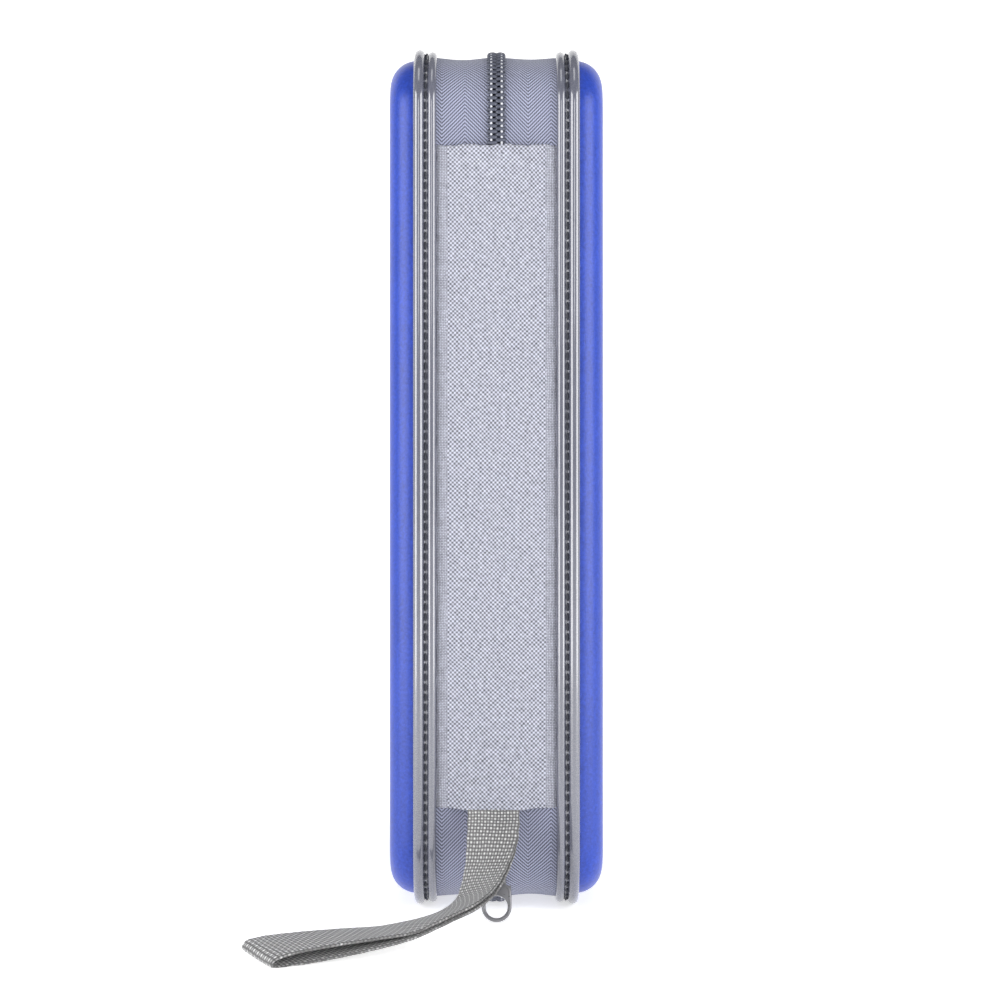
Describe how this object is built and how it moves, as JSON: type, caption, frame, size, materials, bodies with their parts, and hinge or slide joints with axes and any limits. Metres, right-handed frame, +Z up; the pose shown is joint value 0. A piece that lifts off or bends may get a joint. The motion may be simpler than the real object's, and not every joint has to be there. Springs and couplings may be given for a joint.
{
  "type": "telescope carry case",
  "caption": "Slim two-shell zipped carry case with piped edges, a woven spine, a foam bed for a short telescope, a net pocket and a wrist strap.",
  "frame": {"origin": "on the floor under the middle of the closed case, where its short end stands", "axes": "+Z up along the case's length, -Y out of the spine, X across the thickness with the foam bed on the +X side"},
  "size_m": [0.1054, 0.2464, 0.271],
  "materials": {
    "shell_cover": "smooth polyurethane film over moulded foam, soft sheen",
    "shell_foam": "dense closed-cell foam",
    "lining_cloth": "brushed knit",
    "piping_vinyl": "smooth vinyl, clear highlights",
    "sewing_thread": "bonded polyester thread",
    "woven_panel": "coarse basket weave",
    "zip_tape_cloth": "herringbone tape",
    "zip_coil_nylon": "nylon coil",
    "stiffener_board": "plain polyethylene sheet",
    "slider_metal": "grey enamel on die-cast zinc",
    "strap_webbing": "plain woven webbing",
    "insert_foam": "open-cell foam",
    "net_cloth": "fine net",
    "binding_cloth": "folded grosgrain",
    "elastic_band": "woven elastic"
  },
  "bodies": {
    "base": {"base_skin": "shell_cover", "base_core": "shell_foam", "base_lining": "lining_cloth", "base_piping": "piping_vinyl", "base_seam_thread": "sewing_thread", "base_spine_edge": "woven_panel", "base_zip_tape": "zip_tape_cloth", "base_zip_coil": "zip_coil_nylon", "foam_insert": "insert_foam"},
    "spine": {"spine_panel": "woven_panel", "spine_board": "stiffener_board", "spine_lining": "lining_cloth", "spine_hem_thread": "sewing_thread", "zip_end_tape_lower": "zip_tape_cloth", "zip_end_tape_upper": "zip_tape_cloth", "zip_end_coil_lower": "zip_coil_nylon", "zip_end_coil_upper": "zip_coil_nylon", "zip_stop_lower": "sewing_thread", "zip_stop_upper": "sewing_thread", "strap_bartack": "sewing_thread"},
    "lid": {"lid_skin": "shell_cover", "lid_core": "shell_foam", "lid_lining": "lining_cloth", "lid_piping": "piping_vinyl", "lid_seam_thread": "sewing_thread", "lid_spine_edge": "woven_panel", "lid_zip_tape": "zip_tape_cloth", "lid_zip_coil": "zip_coil_nylon", "net_pocket": "net_cloth", "pocket_binding": "binding_cloth", "pocket_elastic": "elastic_band"},
    "slider": {"slider_body": "slider_metal", "slider_bridge": "slider_metal"},
    "pull": {"slider_pull": "slider_metal"},
    "strap": {"wrist_strap": "strap_webbing"}
  },
  "joints": [
    {"name": "spine_fold", "type": "hinge", "parent": "base", "child": "spine", "pos_m": [0.01835, -0.0888, 0.1355], "axis": [0, 0, 1], "range_deg": [0, 90]},
    {"name": "lid_fold", "type": "hinge", "parent": "spine", "child": "lid", "pos_m": [-0.01835, -0.0888, 0.1355], "axis": [0, 0, 1], "range_deg": [0, 90]},
    {"name": "slider_run", "type": "hinge", "parent": "spine", "child": "slider", "pos_m": [0, -0.07, 0.02], "axis": [1, 0, 0], "range_deg": [0, 24]},
    {"name": "pull_swing", "type": "hinge", "parent": "slider", "child": "pull", "pos_m": [0, -0.0917, 0.0186], "axis": [-1, 0, 0], "range_deg": [-12, 26]},
    {"name": "strap_lift", "type": "hinge", "parent": "spine", "child": "strap", "pos_m": [-0.0009, -0.0895, 0.0328], "axis": [-1, 0, 0], "range_deg": [0, 90]}
  ],
  "couplings": [
    {"joint": "lid_fold", "follows": "spine_fold", "ratio": 1}
  ]
}
